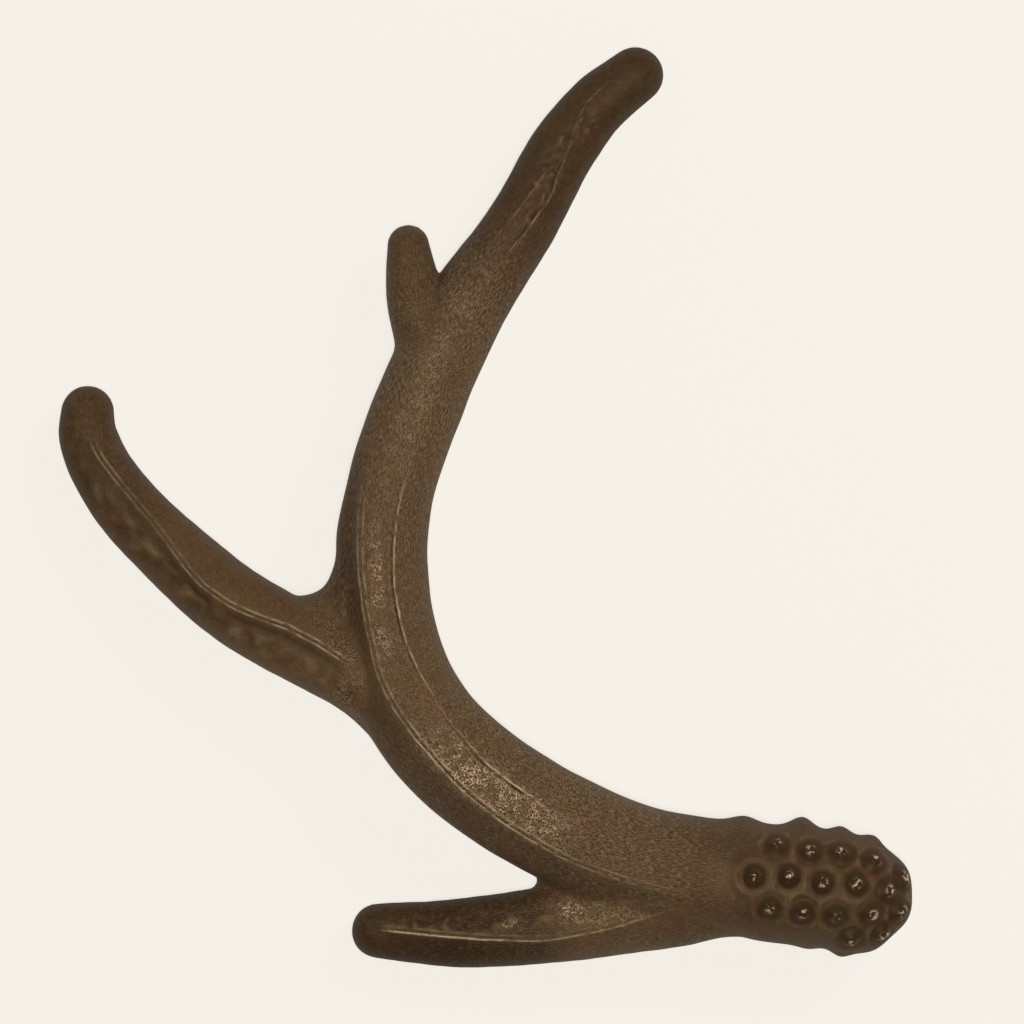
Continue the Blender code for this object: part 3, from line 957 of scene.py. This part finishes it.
every = np.vstack([vertex_places(piece.data) for piece in pieces.values()]) + SOLID_MOVE
low, high = every.min(axis=0), every.max(axis=0)
fit_low, fit_high = np.maximum(low, cad_low), np.minimum(high, cad_high)
print("before the fit the skin's box is off the solids' box by, mm:",
      np.round(low - cad_low, 2), np.round(high - cad_high, 2))
for piece in pieces.values():
    corners = vertex_places(piece.data) + SOLID_MOVE
    corners = fit_low + (corners - low) / (high - low) * (fit_high - fit_low)
    set_places(piece.data, corners)

for name, piece in pieces.items():
    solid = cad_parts[name]
    sample = [vertex.co for vertex in piece.data.vertices][::SAMPLE_STEP]
    gaps = [(solid.closest_point_on_mesh(place)[1] - place).length / MM for place in sample]
    print(f"{name}: {np.mean(gaps):.2f} mm from its solid on average, {max(gaps):.2f} at most")

# %% [markdown]
# ## The polymer
#
# The real cast is a dark brown polymer. Where the mould was etched it is satin and sparkles with fine
# stipple, where it was polished it shines, and long shallow streaks follow the grain of the shaft. One
# colour with one roughness would look like clay. So the colour is laid on in thin layers, as a painter
# glazes a model: each layer is a pattern, the part of it that shows, how strongly, and a shade. Several
# layers are painted light: painted glints on the stipple and the pearls' crowns, painted highlights on
# the crease lines, the lumps and the rims, and painted shade in the hollows, the groove, the dents, the
# dark crease lines and on the beam's outer flank. Noise in millimetres makes the patterns, and the
# skin's attributes say where they belong.

# %% The shades of brown
BROWN = (0.098, 0.058, 0.029, 1.0)
RED_BROWN = (0.135, 0.066, 0.034, 1.0)
OLIVE_BROWN = (0.110, 0.080, 0.034, 1.0)
MAUVE_BROWN = (0.118, 0.074, 0.052, 1.0)
LIGHT_BROWN = (0.185, 0.117, 0.061, 1.0)
SPECK_AND_GLINT_BROWN = (0.395, 0.265, 0.150, 1.0)      # pale specks of the stipple, partly painted glints, and painted highlights on the lumps
PAINTED_GLINT_BROWN = (0.860, 0.670, 0.460, 1.0)     # painted glints, and painted highlights on the crease lines and the pearls' crowns
ASH_BROWN = (0.380, 0.285, 0.200, 1.0)       # streaks
DEEP_BROWN = (0.036, 0.0165, 0.0065, 1.0)    # painted shade in the hollows, groove, dents and crease lines, and the darker specks and tones
SHINE_TINT = (1.0, 0.86, 0.68, 1.0)
SHINE_LEVEL = 0.3


# %% Build the material
def polymer(material):
    """Gives the material its layers of colour, its roughness and its fine relief."""
    material.use_nodes = True
    tree = material.node_tree
    surface = tree.nodes["Principled BSDF"]
    make, maths, _ = tools(tree)

    def stored(name, output="Fac"):
        return make("ShaderNodeAttribute", attribute_name=name).outputs[output]

    def times(*values):
        return maths("MULTIPLY", *values)

    def remap(value, low, high, to_low, to_high):
        return make("ShaderNodeMapRange", {
            "Value": value, "From Min": low, "From Max": high,
            "To Min": to_low, "To Max": to_high}).outputs[0]

    def layer(pattern, low, high, strength, where=1.0):
        """How much a layer shows: none at the low value, and its strength at the high one."""
        return times(remap(pattern, low, high, 0.0, strength), where)

    place = make("ShaderNodeTexCoord").outputs["Object"]
    in_mm = make("ShaderNodeMapping", {"Vector": place, "Scale": (1000, 1000, 1000)}).outputs[0]

    def mapped_noise(at, scale, detail, **mapping):
        """Noise at a place that is moved or stretched first."""
        mapped = make("ShaderNodeMapping", {"Vector": at, **mapping}).outputs[0]
        return make("ShaderNodeTexNoise",
                    {"Vector": mapped, "Scale": scale, "Detail": detail}).outputs[0]

    def grain_noise(scale, detail):
        """Noise that is drawn out along the branches."""
        return mapped_noise(stored("grain", "Vector"), 1.0, detail, Scale=scale)

    def lump_noise(scale, detail, shift=0.0):
        """Noise with even lumps, about one over its scale in mm across."""
        return mapped_noise(in_mm, scale, detail, Location=(shift, shift, 0))

    def fine_line(middle, sharpness):
        """1 on a line that runs beside a crease, and 0 away from it."""
        gap = maths("SUBTRACT", stored("crease_off"), middle)
        return maths("EXPONENT", times(times(gap, gap), -sharpness))

    # the creases: a painted highlight line and its twin, a painted shade line between them, and a soft
    # olive painted sheen
    broken = remap(grain_noise((0.4, 1.2, 1.0), 2.0), 0.4, 0.56, 0.15, 1.0)
    crisp = times(stored("crease_crisp"), broken)
    twin_line = times(fine_line(-1.05, 20.0), stored("crease_twin"))
    bright_line = times(maths("ADD", fine_line(0.0, 30.0), twin_line), crisp)
    dark_line = times(times(fine_line(-0.52, 16.0), crisp), stored("crease_dark"))
    soft_line = times(fine_line(-0.4, 1.3), stored("crease_crisp"))

    # the patterns, and where they are
    patches, clusters, mottle = lump_noise(0.09, 3.0), lump_noise(0.35, 1.0), lump_noise(0.8, 2.0)
    stipple, sparkle = lump_noise(2.7, 1.0), lump_noise(3.6, 0.0, 43.0)
    streaks, streaked = grain_noise((0.85, 4.2, 1.0), 3.0), stored("streaks")
    tone_and_shade, polish, lumps = stored("tone_and_shade"), stored("polish"), stored("lumps")
    # painted highlights, streaked along the raised lumps
    lump_highlights = times(lumps, grain_noise((0.8, 2.6, 1.0), 2.0))
    stippled = times(stored("stipple"), remap(clusters, 0.35, 0.65, 0.5, 1.1))
    # painted glints: pale specks of colour in the glitter patches
    glints = times(stored("glitter"), remap(clusters, 0.40, 0.54, 0.2, 1.0))
    glints = times(glints, remap(lump_noise(1.1, 1.0, 11.0), 0.38, 0.54, 0.25, 1.15))
    # painted glints on the pearls' crowns
    painted_crown_glints = times(stored("painted_crown_glints"), remap(lump_noise(1.0, 1.5, 5.0), 0.52, 0.6, 0.0, 1.0))

    colour = BROWN
    for share, shade in (
            (layer(patches, 0.40, 0.68, 0.30), LIGHT_BROWN),
            (layer(lump_noise(0.16, 2.0, 31.0), 0.48, 0.60, 0.75), RED_BROWN),
            (layer(lump_noise(0.19, 2.0, 57.0), 0.52, 0.64, 0.60), OLIVE_BROWN),
            (layer(lump_noise(0.14, 2.0, 83.0), 0.52, 0.64, 0.50), MAUVE_BROWN),
            # the tone, with the painted shade of the beam's outer flank
            (layer(tone_and_shade, 0.0, 1.0, 1.0), LIGHT_BROWN),
            (layer(tone_and_shade, 0.0, -1.0, 1.0), DEEP_BROWN),
            (layer(mottle, 0.52, 0.70, 0.18), LIGHT_BROWN),
            (layer(mottle, 0.48, 0.30, 0.18), DEEP_BROWN),
            # painted highlight on the raised lumps and rims, and painted shade in the dents
            (layer(lumps, 0.1, 0.9, 0.55), LIGHT_BROWN),
            (layer(lumps, -0.1, -1.0, 0.35), DEEP_BROWN),
            # painted highlights on the lumps
            (layer(lump_highlights, 0.34, 0.60, 0.25), SPECK_AND_GLINT_BROWN),
            (times(soft_line, 0.45), OLIVE_BROWN),
            # the stipple's pale specks: partly the cast's own speckle, partly painted glints
            (layer(stipple, 0.50, 0.62, 0.90, stippled), SPECK_AND_GLINT_BROWN),
            (layer(stipple, 0.50, 0.38, 0.90, stippled), DEEP_BROWN),
            (layer(streaks, 0.51, 0.64, 0.70, streaked), ASH_BROWN),
            (layer(streaks, 0.49, 0.36, 0.75, streaked), DEEP_BROWN),
            # painted glints
            (layer(sparkle, 0.51, 0.57, 1.00, glints), PAINTED_GLINT_BROWN),
            (layer(sparkle, 0.44, 0.38, 0.35, glints), DEEP_BROWN),
            # painted shade in the pearls' hollows and the side tine's groove
            (times(stored("hollow"), 0.75), DEEP_BROWN),
            # painted shade and painted highlight along the creases
            (times(dark_line, 0.55), DEEP_BROWN),
            (times(bright_line, 0.75), PAINTED_GLINT_BROWN),
            (times(painted_crown_glints, 0.80), PAINTED_GLINT_BROWN)):
        mixed = make("ShaderNodeMix", {"Factor": share, 6: colour, 7: shade}, data_type="RGBA")
        colour = mixed.outputs[2]
    tree.links.new(colour, surface.inputs["Base Color"])

    rough = remap(patches, 0.3, 0.7, 0.46, 0.56)
    for smoother, amount in ((polish, 0.30), (glints, 0.12)):
        rough = maths("SUBTRACT", rough, times(smoother, amount))
    tree.links.new(rough, surface.inputs["Roughness"])

    height = 0.0         # mm
    for pattern, where, rise in (
            (stipple, stippled, 0.32), (sparkle, glints, 0.25), (lump_noise(1.1, 1.0), polish, 0.3),
            (streaks, streaked, 0.2), (maths("SUBTRACT", bright_line, dark_line), 1.0, 0.12)):
        height = maths("ADD", height, times(times(pattern, where), rise))
    bump = make("ShaderNodeBump", {"Height": height, "Distance": MM, "Strength": 1.0})
    tree.links.new(bump.outputs[0], surface.inputs["Normal"])
    surface.inputs["Specular IOR Level"].default_value = SHINE_LEVEL
    surface.inputs["Specular Tint"].default_value = SHINE_TINT
    print(material.name, "has", len(tree.nodes), "nodes")


polymer(antler_polymer)

# %% [markdown]
# ## Joining the skin to the solid model
#
# The solids stay in the model for collisions, and the skin is what shows. Each piece of skin stands for
# the solid of its own name and rides on the one body.

# %% Ride and replace
for name, piece in pieces.items():
    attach(piece, "root")
    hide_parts(name)
print(len(pieces), "pieces ride on the root body")

# %% [markdown]
# ## The stage
#
# A dark cast on pale paper, with hardly a shadow. Lamps strong enough to whiten the paper would burn out
# the cast, so the paper gives off most of its own light, and three soft lamps only shape the antler: one
# overhead, a fill that isn't mirrored in it, and a window that is only mirrored in it. The world glows
# most at the horizon and below it, which gives the rims their pale edge. The camera looks straight down.

# %% The floor
FLOOR_SIZE = 3.0     # m
FLOOR_COLOUR = (0.25, 0.25, 0.25, 1.0)
FLOOR_GLOW = (0.762, 0.739, 0.690, 1.0)
FLOOR_ROUGHNESS = 0.9

bpy.ops.mesh.primitive_plane_add(size=FLOOR_SIZE, location=(0, 0, 0))
floor = bpy.context.object
floor.name = "floor"
paper = bpy.data.materials.new("pale_paper")
paper.use_nodes = True
paper_surface = paper.node_tree.nodes["Principled BSDF"]
for key, value in {"Base Color": FLOOR_COLOUR, "Roughness": FLOOR_ROUGHNESS,
                   "Emission Color": FLOOR_GLOW, "Emission Strength": 1.0}.items():
    paper_surface.inputs[key].default_value = value
floor.data.materials.append(paper)
floor.visible_glossy = False     # it lights the antler, but isn't mirrored in it

# %% The world's glow
GLOW_COLOUR = (0.95, 1.0, 0.92, 1.0)
WORLD_GLOW = (       # from 0, straight down, to 1, straight up, and how strongly it glows there
    (0.0, 0.2), (0.25, 0.45), (0.45, 0.5), (0.6, 0.13), (1.0, 0.10))

world = bpy.data.worlds.new("studio")
bpy.context.scene.world = world
world.use_nodes = True
glow_tree = world.node_tree
backdrop = glow_tree.nodes["Background"]
backdrop.inputs["Color"].default_value = GLOW_COLOUR
aim = node(glow_tree, "ShaderNodeTexCoord").outputs["Generated"]
aim_height = node(glow_tree, "ShaderNodeSeparateXYZ", {0: aim}).outputs[2]
from_below = math_node(glow_tree, "MULTIPLY", math_node(glow_tree, "ADD", aim_height, 1.0), 0.5)
glow_tree.links.new(float_curve(glow_tree, from_below, WORLD_GLOW), backdrop.inputs["Strength"])
print("the world glows", len(WORLD_GLOW), "strengths from straight down to straight up")

# %% The lamps
LAMPS = (            # name, place and size in m, watts, colour, does it light, and is it mirrored
    ("overhead", (0.04, -0.08, 1.9), 0.24, 14.6, (1.0, 0.86, 0.69), True, True),
    ("fill", (0.9, 0.8, 1.0), 0.8, 4.9, (1.0, 0.93, 0.82), True, False),
    ("window", (-0.9, 0.9, 1.4), 0.35, 3.0, (1.0, 0.92, 0.80), False, True),
)
for name, place, size, watts, colour, lights, mirrored in LAMPS:
    lamp = bpy.data.lights.new(name, "AREA")
    lamp.shape, lamp.size, lamp.energy, lamp.color = "DISK", size, watts, colour
    made = in_scene(name, lamp)
    made.location = place
    made.rotation_euler = (-Vector(place)).to_track_quat("-Z", "Y").to_euler()
    made.visible_diffuse, made.visible_glossy = lights, mirrored
    print(f"{name}: {watts} W from {Vector(place).length:.1f} m")

# %% The camera
CAMERA_HEIGHT = 1.60             # m
CAMERA_OFFSET = (0.0057, -0.0010)    # m, from the middle of the antler's box
FRAME_WIDTH = 0.2113             # m that the camera sees across, at the antler's middle height
SENSOR = 36.0                    # mm

camera_data = bpy.data.cameras.new("camera")
camera = in_scene("camera", camera_data)
middle = (Vector(CAD_BOX[0]) + Vector(CAD_BOX[1])) / 2
camera.location = middle + Vector((*CAMERA_OFFSET, CAMERA_HEIGHT))
camera_data.sensor_width = SENSOR
camera_data.lens = SENSOR * CAMERA_HEIGHT / FRAME_WIDTH
bpy.context.scene.camera = camera
bpy.context.scene.view_settings.view_transform = "Standard"
print(f"camera: {camera_data.lens:.0f} mm lens")
